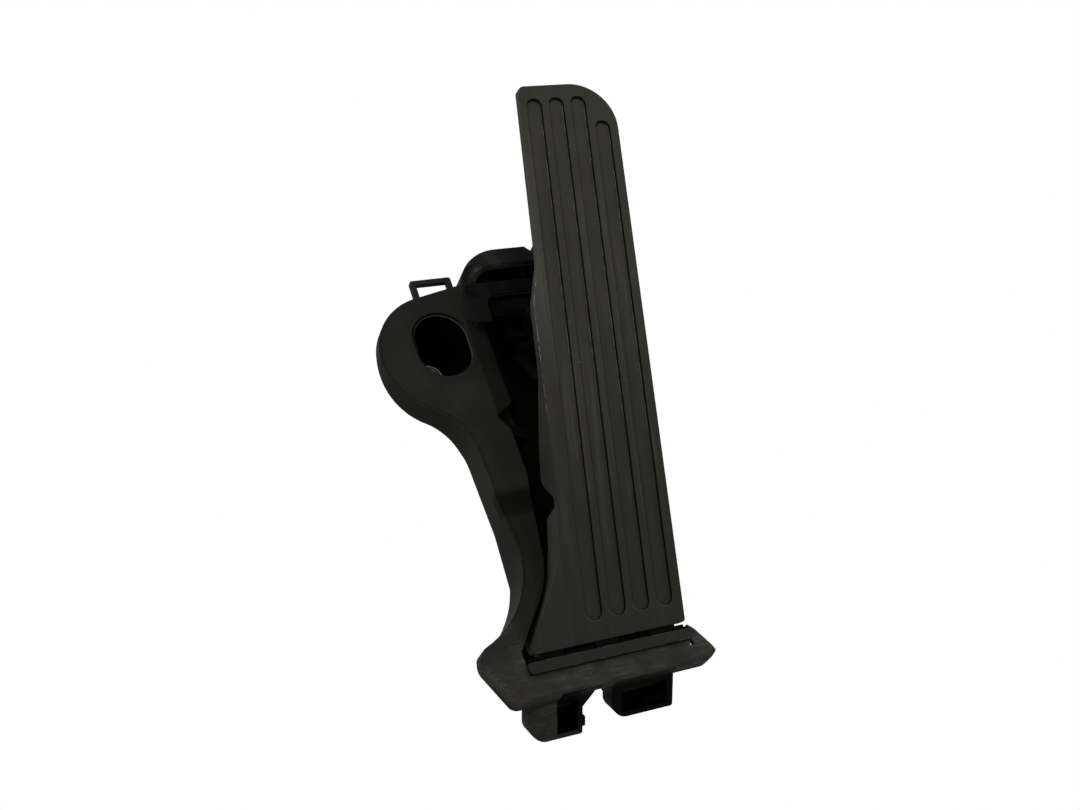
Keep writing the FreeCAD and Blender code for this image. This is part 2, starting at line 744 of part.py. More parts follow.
def knuckles():
    """Hinge barrels under the plate's foot, each on its own web."""
    parts = []
    for x in knuckle_places():
        low = x - corner.x
        barrel = cross_rod(low, low + knuckle_width, hinge_depth, -hinge_drop, knuckle_radius)
        web = prism([(0.4, 1.0, 0), (hinge_depth - 2.2, -hinge_drop, 0), (hinge_depth + 2.2, -hinge_drop, 0),
                     (6.0, 1.0, 0), (6.0, 2.5, 0), (0.4, 2.5, 0)], "yz", low, low + knuckle_width)
        parts += [barrel, web]
    return parts


def pedal_plate():
    """Tread plate: skin, side walls cut to the side view, ribs, push block and knuckles."""
    face = outline(plate_points(), "xz", 0)
    deep = 16.0
    outer = face.extrude(V(0, deep, 0))
    inner_face = inset(face, plate_wall)
    inner_face.translate(V(0, plate_skin, 0))
    inner = inner_face.extrude(V(0, deep, 0))
    side = prism(plate_side(), "yz", -30.0, 130.0)
    low_side = prism(rib_side(), "yz", -30.0, 130.0)
    walls = outer.cut(inner).common(side)
    ribs = [r.common(outer).common(low_side) for r in plate_ribs()]
    body = fused([walls] + ribs + [push_block()] + knuckles())
    for i in range(groove_count):
        body = body.cut(groove(i))
    body = body.cut(cross_rod(-30.0, 130.0, hinge_depth, -hinge_drop, hinge_pin_radius + running_fit))
    body = body.cut(pad_peg(seat_fit, 0.2))
    return on_plate(body)


def pad_peg(grow, deeper):
    """Square peg of the slide pad, grown by a clearance where its socket is cut."""
    middle = lever_x - corner.x
    half = pad_peg_side / 2 + grow
    foot = pad_depth - pad_thickness - 2.4 - deeper
    return block(middle - half, middle + half, foot, pad_depth - 0.1, shoe_s + 1.5 - half, shoe_s + 1.5 + half)


def slide_pad():
    """Hard wearing pad clipped on the push block, where the lever's shoe slides."""
    middle = lever_x - corner.x
    half = pad_width / 2 - 0.6
    pad = block(middle - half, middle + half, pad_depth - pad_thickness, pad_depth, shoe_s - 6.0, shoe_s + 8.2)
    return on_plate(fused([pad, pad_peg(0, 0)]))


# Hinge pieces

def hinge_strip():
    """Cover strip over the hinge, set in its seat along the flange."""
    top_run = strip_top - strip_bottom
    strip = prism([(strip_left, strip_top, 1.0), (strip_right, strip_top, 0.6), (strip_right, strip_bottom, 0.8),
                   (strip_left, strip_bottom, 1.6)], "xz", flange_front + strip_seat - strip_thickness,
                  flange_front + strip_seat)
    relief = block(hinge_left - 1.2, hinge_right + 1.2, hinge_y - knuckle_radius - 0.35, flange_front + strip_seat + 1,
                   strip_top - top_run * 0.55, strip_top + 1)
    return strip.cut(relief)


def hinge_pin():
    """Steel pin through knuckles and lugs."""
    return cross_rod(hinge_left - 1.6, hinge_right + 1.6, hinge_y, hinge_z, hinge_pin_radius)


# Upper fixing

def spacer_sleeve():
    """Steel sleeve that takes the bolt's clamping load."""
    outer = rod(V(0, 0, 0), V(0, -sleeve_length, 0), sleeve_outer)
    bore = rod(V(0, 1, 0), V(0, -sleeve_length - 1, 0), sleeve_bore)
    return outer.cut(bore)


def end_buffer():
    """Rubber buffer that stops the plate at full travel, with its stem in the cross wall."""
    foot = V(lever_x, buffer_shelf_front, buffer_z)
    head = Part.makeCone(buffer_radius, buffer_nose_radius, buffer_shelf_front - plate_stop_y(), foot, V(0, -1, 0))
    stem = rod(foot, V(lever_x, -18.4, buffer_z), 2.2)
    return fused([head, stem])


def plate_stop_y():
    """Front of the buffer: where the back ribs stand at full travel, less a hair."""
    turn = math.radians(plate_lean - plate_travel)
    rib_depth = 11.1
    return hinge_y + (rib_depth - hinge_depth) / math.cos(turn) - (buffer_z - hinge_z) * math.tan(turn) + 0.15


def idle_stop():
    """Rubber pad under the lever's horn, where the lever rests."""
    top = lever_z - 8.6 + idle_pad_thickness
    return block(lever_x - 7.0, lever_x + 7.0, -14.5, -8.5, lever_z - 8.6, top)


# Return lever

def lever():
    """Hub, tapered arm down to the shoe and the horn under the springs."""
    hub = cross_rod(hub_left, hub_right, lever_y, lever_z, hub_radius)
    half = lever_width / 2
    arm = prism([(-5.0, 0, 0), (5.0, 0, 0), (tip_half, -lever_reach + 8, 0), (tip_half, -lever_reach, 0),
                 (-tip_half, -lever_reach, 0), (-tip_half, -lever_reach + 8, 0)], "yz", lever_x - half, lever_x + half)
    arm = arm.fuse(cross_rod(lever_x - half, lever_x + half, 0, -lever_reach, tip_half))
    waist = prism([(-1.9, -10.0, 0), (1.9, -10.0, 0), (1.0, -lever_reach + 9, 0), (-1.0, -lever_reach + 9, 0)],
                  "yz", lever_x - half - 1, lever_x - half + 2.4)
    other = waist.copy()
    other.translate(V(2 * half - 1.4, 0, 0))
    arm = arm.cut(waist).cut(other)
    arm.rotate(V(0, 0, 0), V(1, 0, 0), -lever_angle)
    arm.translate(V(0, lever_y, lever_z))
    horn = prism([(lever_y, lever_z - 4.6, 0), (spring_y - 5.5, lever_z - 6.0, 0), (spring_y + 6.0, lever_z - 6.0, 0),
                  (spring_y + 6.5, spring_seat_top - 3.4, 0), (lever_y, lever_z + 4.0, 0)], "yz",
                 lever_x - 6.0, lever_x + 6.0)
    body = fused([hub, arm, horn])
    body = body.cut(spring_seat_solid(seat_fit))
    return body.cut(cross_rod(hub_left - 1, hub_right + 1, lever_y, lever_z, shaft_radius + seat_fit)).removeSplitter()


def lever_shaft():
    """Steel shaft pressed in the hub; it runs in the two bushes and carries the sensor target."""
    return cross_rod(bush_left, box_right + 3.2, lever_y, lever_z, shaft_radius)


def seat_plate(low, high, grow):
    """Square plate under or over the springs, its corners cut off."""
    half = spring_seat_half + grow
    near = half - spring_seat_corner
    places = [(half, near), (near, half), (-near, half), (-half, near), (-half, -near), (-near, -half),
              (near, -half), (half, -near)]
    return prism([(lever_x + a, spring_y + b, 0) for a, b in places], "xy", low, high)


def spigot(low, high):
    """Crossed ribs that centre the inner spring."""
    reach = spring_inner_radius - spring_inner_wire - spigot_gap
    half = spigot_rib / 2
    along = block(lever_x - reach, lever_x + reach, spring_y - half, spring_y + half, low, high)
    return along.fuse(block(lever_x - half, lever_x + half, spring_y - reach, spring_y + reach, low, high))


def spring_seat_solid(grow):
    """Seat for both springs with its peg, grown by a clearance where its socket is cut."""
    disc = seat_plate(spring_seat_top - 2.4 - grow, spring_seat_top, grow)
    half = peg_side / 2 + grow
    stem = block(lever_x - half, lever_x + half, spring_y - half, spring_y + half,
                 spring_seat_top - 5.4 - grow, spring_seat_top - 2.0)
    return disc.fuse(stem)


def spring_seat():
    """Seat with a centring spigot for the inner spring."""
    return fused([spring_seat_solid(0), spigot(spring_seat_top - 1.0, spring_seat_top + 2.6)])


def spring_cap():
    """Upper spring guide, seated against the roof of the box."""
    disc = seat_plate(cap_low, cap_low + cap_thickness, 0)
    room = inset(outline(box_points(), "xz", hood_bevel_back), box_wall + seat_fit)
    disc = disc.common(room.extrude(V(0, -hood_bevel_back, 0)))
    return fused([disc, spigot(cap_low - 3.0, cap_low + 0.5)])


def lever_shoe():
    """Slippery shoe clipped round the lever's tip, open towards the arm."""
    wide = shoe_width / 2
    half = tip_half + seat_fit
    shoe = cross_rod(-wide, wide, 0, 0, shoe_radius)
    shoe = shoe.cut(cross_rod(-wide - 1, wide + 1, 0, 0, half))
    shoe = shoe.cut(block(-wide - 1, wide + 1, -half, half, 0, 10))
    shoe.rotate(V(0, 0, 0), V(1, 0, 0), -lever_angle)
    shoe.translate(V(lever_x, shoe_y, shoe_z))
    return shoe


def shaft_bush():
    """Two plain bushes in the walls of the box."""
    bushes = []
    for x in (bush_left, bush_right):
        sleeve = cross_rod(x, x + bush_length, lever_y, lever_z, bush_radius)
        bushes.append(sleeve.cut(cross_rod(x - 1, x + bush_length + 1, lever_y, lever_z, shaft_radius + running_fit)))
    return Part.makeCompound(bushes)


# Position sensor

def screw_places():
    """Places (y, z) of the cover's screws."""
    return [(cover_front + 3.2, cover_bottom + 3.2), (cover_back - 3.2, cover_bottom + 3.2),
            (cover_back - 3.2, cover_top - 3.2)]


def cover_points(margin):
    """Side outline of the sensor cover, drawn in by a margin; its inside has square corners."""
    m = margin
    radius = max(0, cover_corner - 2 * m)
    return [(cover_front + m, cover_top - m, radius), (cover_back - m, cover_top - m, radius),
            (cover_back - m, cover_bottom + m, radius), (cover_front + m, cover_bottom + m, radius)]


def sensor_cover():
    """Cover of the position sensor with its upward connector socket."""
    low = box_right + seal_thickness
    outer = prism(cover_points(0), "yz", low, low + cover_depth)
    inner = prism(cover_points(cover_wall), "yz", low - 1, low + cover_depth - cover_wall)
    pillars = [block(low, low + cover_depth - 0.5, y - 2.8, y + 2.8, z - 2.8, z + 2.8) for y, z in screw_places()]
    middle = (cover_front + cover_back) / 2
    half = socket_depth / 2
    right = low + cover_depth
    socket = prism([(right - socket_width, middle - half, 2.0), (right, middle - half, 2.0),
                    (right, middle + half, 2.0), (right - socket_width, middle + half, 2.0)],
                   "xy", cover_top - 1.2, cover_top + socket_height)
    w = socket_wall
    mouth = block(right - socket_width + w, right - w, middle - half + w, middle + half - w,
                  cover_top + 2.0, cover_top + socket_height + 1)
    latch = block(right - 0.5, right + 1.6, middle - 4.0, middle + 4.0, cover_top + 9.0, cover_top + 12.0)
    body = fused([outer.cut(inner), socket, latch] + [p.common(outer) for p in pillars])
    body = body.cut(mouth)
    for y, z in screw_places():
        body = body.cut(cross_rod(low - 1, right + 1, y, z, screw_shank_radius + 0.2))
    for x, y in pin_places():
        body = body.cut(block(x - pin_side / 2, x + pin_side / 2, y - pin_side / 2, y + pin_side / 2,
                              cover_top - 4, cover_top + 3))
    return body


def pin_places():
    """Places (x, y) of the connector pins, in one row."""
    middle = (cover_front + cover_back) / 2
    x = box_right + seal_thickness + cover_depth - socket_width / 2
    start = middle - (pin_count - 1) * pin_pitch / 2
    return [(x, start + i * pin_pitch) for i in range(pin_count)]


def connector_pins():
    """Contact pins, from the board's edge up into the socket."""
    pins = []
    for x, y in pin_places():
        side = pin_side / 2
        pins.append(block(x - side, x + side, y - side, y + side, cover_top - 7.0, cover_top + socket_height - 6.0))
    return Part.makeCompound(pins)


def circuit_board():
    """Sensor board behind the target, under the pins and cut away round the cover's pillars."""
    right = pin_places()[0][0] - pin_side / 2
    margin = cover_wall + 0.3
    board = block(right - board_thickness, right, cover_front + margin, cover_back - margin,
                  cover_bottom + margin, cover_top - margin)
    for y, z in screw_places() + [(cover_front + 1.0, cover_top - 1.0)]:
        board = board.cut(block(right - 5, right + 1, y - 3.1, y + 3.1, z - 3.1, z + 3.1))
    return board


def sensor_target():
    """Metal target plate that turns with the shaft in front of the board."""
    start = box_right + 0.9
    disc = cross_rod(start, start + 1.0, lever_y, lever_z, 3.9)
    vane = prism([(lever_y - 2.5, lever_z, 0), (lever_y + 2.5, lever_z, 0), (lever_y + 10.0, lever_z - 5.0, 0),
                  (lever_y + 7.0, lever_z - 11.0, 0)], "yz", start, start + 1.0)
    plate = fused([disc, vane])
    return plate.cut(cross_rod(start - 1, start + 2, lever_y, lever_z, shaft_radius + seat_fit))


def shaft_clip():
    """Retaining clip that keeps the target on the shaft."""
    start = box_right + 1.9
    ring = cross_rod(start, start + 0.8, lever_y, lever_z, 4.0)
    ring = ring.cut(cross_rod(start - 1, start + 2, lever_y, lever_z, shaft_radius + seat_fit))
    mouth = block(start - 1, start + 2, lever_y - 1.6, lever_y + 1.6, lever_z, lever_z + 6)
    return ring.cut(mouth)


def cover_seal():
    """Flat seal between box and cover."""
    outer = prism(cover_points(0.2), "yz", box_right, box_right + seal_thickness)
    inner = prism(cover_points(cover_wall), "yz", box_right - 1, box_right + 2)
    return outer.cut(inner)


def cover_screw():
    """Three screws that hold the cover."""
    screws = []
    right = box_right + seal_thickness + cover_depth
    for y, z in screw_places():
        corners = [(y + screw_head_radius * math.cos(math.radians(a)),
                    z + screw_head_radius * math.sin(math.radians(a)), 0) for a in range(0, 360, 60)]
        head = prism(corners, "yz", right, right + screw_head_height)
        shank = cross_rod(box_right - 4.8, right + 0.5, y, z, screw_shank_radius)
        screws.append(head.fuse(shank).removeSplitter())
    return Part.makeCompound(screws)


def cable_guide():
    """Guide loop on top of the ear: two legs and a bar."""
    foot = 22.0
    outer = prism([(guide_left, guide_top, 1.0), (guide_right, guide_top, 1.0), (guide_right, foot, 0),
                   (guide_left, foot, 0)], "xz", guide_front, guide_back)
    inner = block(guide_left + guide_bar, guide_right - guide_bar, guide_front - 1, guide_back + 1,
                  foot - 1, guide_top - guide_bar)
    return outer.cut(inner)


def return_spring_outer():
    """Outer return spring."""
    return coil(spring_outer_radius, spring_outer_wire, spring_outer_turns, spring_seat_top, cap_low)


def return_spring_inner():
    """Inner return spring, the second of the pair."""
    return coil(spring_inner_radius, spring_inner_wire, spring_inner_turns, spring_seat_top, cap_low)


nodes = [module_housing, pedal_plate, slide_pad, hinge_strip, hinge_pin, spacer_sleeve, end_buffer, idle_stop,
         lever, lever_shaft, lever_shoe, spring_seat, spring_cap, return_spring_outer, return_spring_inner,
         shaft_bush, shaft_clip, sensor_target, sensor_cover, circuit_board, connector_pins, cover_seal,
         cover_screw, cable_guide]

os.makedirs("parts", exist_ok=True)
for make in nodes:
    shape = make()
    name = make.__name__
    print(name, "solids", len(shape.Solids), "valid", shape.isValid(), "volume", round(shape.Volume, 1))
    shape.exportStep("parts/" + name + ".step")
print("hinge", round(hinge_y, 3), round(hinge_z, 3), "shoe", round(shoe_y, 3), "lever angle", round(lever_angle, 3))
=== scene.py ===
import math

import bpy
import numpy as np
from mathutils import Matrix, Vector


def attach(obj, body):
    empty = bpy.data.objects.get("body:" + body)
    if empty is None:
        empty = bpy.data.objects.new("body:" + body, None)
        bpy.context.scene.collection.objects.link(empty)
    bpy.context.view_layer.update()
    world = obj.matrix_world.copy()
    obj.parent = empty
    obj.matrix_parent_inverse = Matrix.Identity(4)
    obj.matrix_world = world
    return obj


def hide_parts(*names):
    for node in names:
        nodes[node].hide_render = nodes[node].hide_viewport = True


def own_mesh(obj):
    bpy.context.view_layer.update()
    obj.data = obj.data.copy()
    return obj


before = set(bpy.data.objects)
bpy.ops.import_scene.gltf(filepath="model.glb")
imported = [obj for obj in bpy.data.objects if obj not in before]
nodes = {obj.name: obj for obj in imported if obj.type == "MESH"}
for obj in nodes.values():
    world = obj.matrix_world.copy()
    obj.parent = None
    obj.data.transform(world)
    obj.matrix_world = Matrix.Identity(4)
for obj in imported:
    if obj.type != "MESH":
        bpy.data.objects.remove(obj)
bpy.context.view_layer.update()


# Module housing
# One moulding of black glass-filled nylon: ear, arm, floor flange with two claws, and the box for the lever.
# It comes out of the tool with a fine spark-eroded grain; in use the flange is scuffed and dusty.

def add_node(tree, kind, place=(0, 0), **settings):
    """Adds a node of one kind to a tree and gives it its settings."""
    node = tree.nodes.new(kind)
    node.location = place
    for key, value in settings.items():
        setattr(node, key, value)
    return node


def new_group(name, inputs, outputs):
    """Starts a shader group with named sockets; returns the tree, its input node and its output node."""
    tree = bpy.data.node_groups.new(name, "ShaderNodeTree")
    for label, kind, value in inputs:
        socket = tree.interface.new_socket(name=label, in_out="INPUT", socket_type="NodeSocket" + kind)
        socket.default_value = value
    for label, kind in outputs:
        tree.interface.new_socket(name=label, in_out="OUTPUT", socket_type="NodeSocket" + kind)
    return tree, add_node(tree, "NodeGroupInput", (-1200, 0)), add_node(tree, "NodeGroupOutput", (900, 0))


def plug(tree, value, slot):
    """Gives a socket a value, which is another socket, a number or a tuple."""
    if isinstance(value, (int, float, tuple)):
        slot.default_value = value
    else:
        tree.links.new(value, slot)


def calc(tree, operation, a, b=None, c=None, clamp=False):
    """Math node of one operation; each operand is a socket or a number."""
    node = add_node(tree, "ShaderNodeMath", operation=operation, use_clamp=clamp)
    for slot, value in zip(node.inputs, (a, b, c)):
        if value is not None:
            plug(tree, value, slot)
    return node.outputs[0]


def step_between(tree, value, low, high):
    """Smooth step: 0 below low, 1 above high, with an S curve between."""
    node = add_node(tree, "ShaderNodeMapRange", interpolation_type="SMOOTHSTEP")
    plug(tree, value, node.inputs["Value"])
    plug(tree, low, node.inputs["From Min"])
    plug(tree, high, node.inputs["From Max"])
    return node.outputs["Result"]


def product(tree, *values):
    """Product of several masks; a plain number thins them evenly."""
    whole = values[0]
    for value in values[1:]:
        whole = calc(tree, "MULTIPLY", whole, value)
    return whole


def highest(tree, *values):
    """Largest of several masks."""
    whole = values[0]
    for value in values[1:]:
        whole = calc(tree, "MAXIMUM", whole, value)
    return whole


def opposite(tree, mask):
    """1 less a mask."""
    return calc(tree, "SUBTRACT", 1.0, mask)


def within(tree, value, low, high, soft=0.0006):
    """1 between low and high, falling to 0 over a soft margin outside them; an open end is None."""
    masks = []
    if low is not None:
        masks.append(step_between(tree, value, low - soft, low))
    if high is not None:
        masks.append(opposite(tree, step_between(tree, value, high, high + soft)))
    return product(tree, *masks)


def spot(tree):
    """Object coordinates of the shaded point, as the sockets x, y and z in metres."""
    where = add_node(tree, "ShaderNodeTexCoord")
    parts = add_node(tree, "ShaderNodeSeparateXYZ")
    tree.links.new(where.outputs["Object"], parts.inputs["Vector"])
    return parts.outputs["X"], parts.outputs["Y"], parts.outputs["Z"]


def in_box(tree, place, box, soft=0.0006):
    """Mask of a soft-edged box, given by its low and high ends along X, Y and Z."""
    return product(tree, *(within(tree, value, low, high, soft) for value, (low, high) in zip(place, box)))


def blend_colour(tree, mask, first, second):
    """Mix of two colours by a mask; each colour is a socket or a tuple."""
    node = add_node(tree, "ShaderNodeMix", data_type="RGBA")
    plug(tree, mask, node.inputs["Factor"])
    plug(tree, first, node.inputs["A"])
    plug(tree, second, node.inputs["B"])
    return node.outputs["Result"]


def paint(tree, colour, tint, *masks):
    """Lays a tint over a colour where all the masks meet."""
    return blend_colour(tree, product(tree, *masks), colour, tint)


def cloud(tree, scale, detail=3.0, stretch=(1, 1, 1), roughness=0.5, turn=(0, 0, 0), where=None):
    """Noise on a vector, or else on object coordinates, in features per metre and drawn out by stretch."""
    spread = add_node(tree, "ShaderNodeMapping")
    spread.inputs["Scale"].default_value = stretch
    spread.inputs["Rotation"].default_value = turn
    tree.links.new(where or add_node(tree, "ShaderNodeTexCoord").outputs["Object"], spread.inputs["Vector"])
    noise = add_node(tree, "ShaderNodeTexNoise")
    noise.inputs["Detail"].default_value = detail
    noise.inputs["Roughness"].default_value = roughness
    plug(tree, scale, noise.inputs["Scale"])
    tree.links.new(spread.outputs["Vector"], noise.inputs["Vector"])
    return noise.outputs["Fac"]


def make_edge_group():
    """Rounded edge: the bevelled normal, Turn where it leaves the flat one, and Edge, Turn broken up."""
    outputs = [("Normal", "Vector"), ("Edge", "Float"), ("Turn", "Float")]
    tree, given, out = new_group("rounded_edge", [("Radius", "Float", 0.0008)], outputs)
    bevel = add_node(tree, "ShaderNodeBevel", samples=6)
    tree.links.new(given.outputs["Radius"], bevel.inputs["Radius"])
    flat = add_node(tree, "ShaderNodeNewGeometry")
    dot = add_node(tree, "ShaderNodeVectorMath", operation="DOT_PRODUCT")
    tree.links.new(bevel.outputs["Normal"], dot.inputs[0])
    tree.links.new(flat.outputs["True Normal"], dot.inputs[1])
    off = calc(tree, "SUBTRACT", 1.0, dot.outputs["Value"], clamp=True)
    edge = step_between(tree, off, 0.02, 0.22)
    broken = step_between(tree, cloud(tree, 260.0, 4.0), 0.42, 0.62)
    tree.links.new(bevel.outputs["Normal"], out.inputs["Normal"])
    tree.links.new(product(tree, edge, broken), out.inputs["Edge"])
    tree.links.new(edge, out.inputs["Turn"])
    return tree


def make_grain_group():
    """Moulded grain: a fine noise of the tool's texture plus a slow one of sink and flow, and a mottle."""
    tree, given, out = new_group("moulded_grain", [("Scale", "Float", 1800.0), ("Flow", "Float", 0.3)],
                                 [("Height", "Float"), ("Mottle", "Float")])
    fine = cloud(tree, given.outputs["Scale"], 2.0)
    slow = cloud(tree, 55.0, 3.0)
    tree.links.new(calc(tree, "MULTIPLY_ADD", slow, given.outputs["Flow"], fine), out.inputs["Height"])
    tree.links.new(cloud(tree, 38.0, 4.0, roughness=0.6), out.inputs["Mottle"])
    return tree


def make_dust_group():
    """Dust film and scuffs: patchy noise, and thin bands where a drawn-out noise crosses 0.5."""
    tree, given, out = new_group("dust_and_scuffs", [("Film", "Float", 0.3), ("Scuffs", "Float", 0.3)],
                                 [("Dust", "Float"), ("Scuff", "Float")])
    patch = step_between(tree, cloud(tree, 70.0, 6.0, roughness=0.65), 0.40, 0.72)
    speck = step_between(tree, cloud(tree, 900.0, 2.0), 0.64, 0.74)
    film = calc(tree, "MULTIPLY_ADD", patch, 0.7, product(tree, speck, 0.5))
    tree.links.new(calc(tree, "MULTIPLY", film, given.outputs["Film"], clamp=True), out.inputs["Dust"])
    marks = []
    for stretch, turn in (((0.22, 1, 1), (0.2, 0.5, 0.3)), ((1, 1, 0.2), (0.5, -0.4, 0.1))):
        lines = cloud(tree, 420.0, 1.0, stretch=stretch, turn=turn)
        band = calc(tree, "ABSOLUTE", calc(tree, "SUBTRACT", lines, 0.5))
        marks.append(opposite(tree, step_between(tree, band, 0.002, 0.012)))
    where = step_between(tree, cloud(tree, 48.0, 2.0), 0.52, 0.66)
    scuff = product(tree, highest(tree, *marks), where, given.outputs["Scuffs"])
    tree.links.new(scuff, out.inputs["Scuff"])
    return tree


rounded_edge = make_edge_group()
moulded_grain = make_grain_group()
dust_and_scuffs = make_dust_group()


def place_group(tree, group, **values):
    """Puts a group in a material with its own values."""
    node = add_node(tree, "ShaderNodeGroup", node_tree=group)
    for label, value in values.items():
        node.inputs[label].default_value = value
    return node


def shade_of(colour, factor=1.0):
    """A colour made lighter or darker by a factor, with its alpha."""
    return tuple(c * factor for c in colour) + (1,)


def plastic(name, base, dusty, rough, edge_colour=None, edge=0.0008, edge_share=0.5, grain=1800.0,
            film=0.2, scuffs=0.2, level=0.15, finish=None):
    """Moulded plastic: mottled colour, dust and scuffs over it, paler broken edges, grain in the bump.

    edge is the radius of the rounding in metres, and level the shader's specular level. finish takes the
    tree, the colour so far and the edge mask, and gives the colour with the piece's own marks and its painted
    light and shade.
    """
    mottle_dark, mottle_light = 0.80, 1.22
    grain_depth, grain_strength = 0.00003, 0.6
    rough_swing, dust_dulls = 0.14, 0.3
    material = bpy.data.materials.new(name)
    material.use_nodes = True
    tree = material.node_tree
    shader = tree.nodes["Principled BSDF"]
    shader.inputs["Specular IOR Level"].default_value = level
    edges = place_group(tree, rounded_edge, Radius=edge)
    skin = place_group(tree, moulded_grain, Scale=grain)
    dirt = place_group(tree, dust_and_scuffs, Film=film, Scuffs=scuffs)
    mottle = skin.outputs["Mottle"]
    dust = dirt.outputs["Dust"]
    colour = blend_colour(tree, mottle, shade_of(base, mottle_dark), shade_of(base, mottle_light))
    colour = paint(tree, colour, shade_of(dusty), dust)
    colour = paint(tree, colour, shade_of(edge_colour or dusty), edges.outputs["Edge"], edge_share)
    colour = paint(tree, colour, shade_of(dusty, 1.5), dirt.outputs["Scuff"])
    if finish:
        colour = finish(tree, colour, edges.outputs["Edge"])
    tree.links.new(colour, shader.inputs["Base Color"])
    mottled = calc(tree, "MULTIPLY_ADD", mottle, rough_swing, rough - rough_swing / 2)
    roughness = calc(tree, "MULTIPLY_ADD", dust, dust_dulls, mottled, clamp=True)
    tree.links.new(roughness, shader.inputs["Roughness"])
    bump = add_node(tree, "ShaderNodeBump")
    bump.inputs["Distance"].default_value = grain_depth
    bump.inputs["Strength"].default_value = grain_strength
    tree.links.new(skin.outputs["Height"], bump.inputs["Height"])
    tree.links.new(edges.outputs["Normal"], bump.inputs["Normal"])
    tree.links.new(bump.outputs["Normal"], shader.inputs["Normal"])
    return material


def dress(material, *names):
    """Gives CAD nodes their finish."""
    for name in names:
        mesh = nodes[name].data
        mesh.materials.clear()
        mesh.materials.append(material)


claw_lean = math.radians(46.5)
claw_front_y = -0.030
claw_top_z = -0.1535


def claw_depth(tree, place):
    """Depth behind the claws' leaning front faces: y cos a + z sin a, counted from the flange's rear edge."""
    forward = calc(tree, "MULTIPLY_ADD", place[1], math.cos(claw_lean), -claw_front_y * math.cos(claw_lean))
    upward = calc(tree, "MULTIPLY_ADD", place[2], math.sin(claw_lean), -claw_top_z * math.sin(claw_lean))
    return calc(tree, "ADD", forward, upward)


hole_middle_z = 0.0006
hole_half_straight = 0.0033


def hole_distance(tree, place):
    """Distance from the access hole's short upright middle line: the length of (x, height past its end)."""
    rise = calc(tree, "ABSOLUTE", calc(tree, "SUBTRACT", place[2], hole_middle_z))
    rise = calc(tree, "MAXIMUM", calc(tree, "SUBTRACT", rise, hole_half_straight), 0.0)
    return calc(tree, "SQRT", calc(tree, "MULTIPLY_ADD", place[0], place[0], product(tree, rise, rise)))


def edge_line(tree, radius):
    """Mask along the piece's edges, as wide as the radius on each side of them."""
    return place_group(tree, rounded_edge, Radius=radius).outputs["Turn"]


housing_black = (0.0146, 0.0140, 0.0112)
housing_dust = (0.060, 0.058, 0.048)
housing_edge = (0.034, 0.033, 0.028)
rubbed_grey = (0.072, 0.070, 0.060, 1)
fleck_grey = (0.26, 0.26, 0.24, 1)
shoulder_highlight_grey = (0.046, 0.045, 0.038, 1)
rim_grey = (0.060, 0.058, 0.050, 1)
patch_grey = (0.015, 0.0145, 0.012, 1)
shade_black = (0.0010, 0.0010, 0.0008, 1)
room_black = (0.0009, 0.0009, 0.0007, 1)

# Boxes that the painted shade and painted highlights keep to, in metres: low and high ends along X, Y and Z
hood_apron = ((0.0184, 0.0620), (-0.0323, -0.0298), (0.0085, 0.0284))
hood_brow = ((0.0252, 0.0600), (-0.0312, -0.0303), (0.0213, 0.0364))
box_flank = ((0.0134, 0.0300), (-0.0316, -0.0190), (-0.0385, 0.0125))
lever_room = ((0.0240, 0.0616), (-0.0302, -0.0014), (-0.0460, 0.0213))
hood_room = ((0.0205, 0.0620), (-0.0290, -0.010), (0.0213, 0.0400))
hinge_gap = ((-0.0118, 0.0552), (-0.0376, -0.0290), (-0.1432, -0.1330))
ear_slot = ((0.0125, 0.0186), (-0.0315, -0.0014), (0.0120, 0.0330))
plate_room = ((0.0128, 0.0620), (-0.0308, -0.0020), (-0.1370, -0.0372))
arm_wall = ((0.0044, 0.0620), (-0.0285, -0.0178), (-0.1370, -0.0370))


def rub_flange(tree, colour, place):
    """Flange, the lobe beside it and the left claw's side, rubbed pale by shoes and flecked with grit."""
    x, y, z = place
    streak = step_between(tree, cloud(tree, 1300.0, 4.0, stretch=(0.07, 1, 1)), 0.44, 0.66)
    patch = step_between(tree, cloud(tree, 110.0, 6.0, stretch=(0.5, 1, 1), roughness=0.7), 0.36, 0.64)
    rubbed = calc(tree, "MULTIPLY_ADD", product(tree, streak, patch), 0.40, product(tree, patch, 0.14))
    flange = product(tree, within(tree, z, -0.1562, -0.1435, 0.003), within(tree, y, None, -0.0335, 0.001))
    lobe = product(tree, within(tree, z, -0.141, -0.124, 0.004), within(tree, x, None, -0.013, 0.006))
    claw_side = product(tree, within(tree, z, None, -0.1545, 0.001), within(tree, x, None, -0.0024, 0.0012))
    front = highest(tree, flange, lobe, claw_side)
    colour = paint(tree, colour, rubbed_grey, front, rubbed)
    colour = paint(tree, colour, rubbed_grey, front, 0.11)
    fleck = step_between(tree, cloud(tree, 1500.0, 2.0), 0.71, 0.75)
    return paint(tree, colour, fleck_grey, flange, fleck, patch)


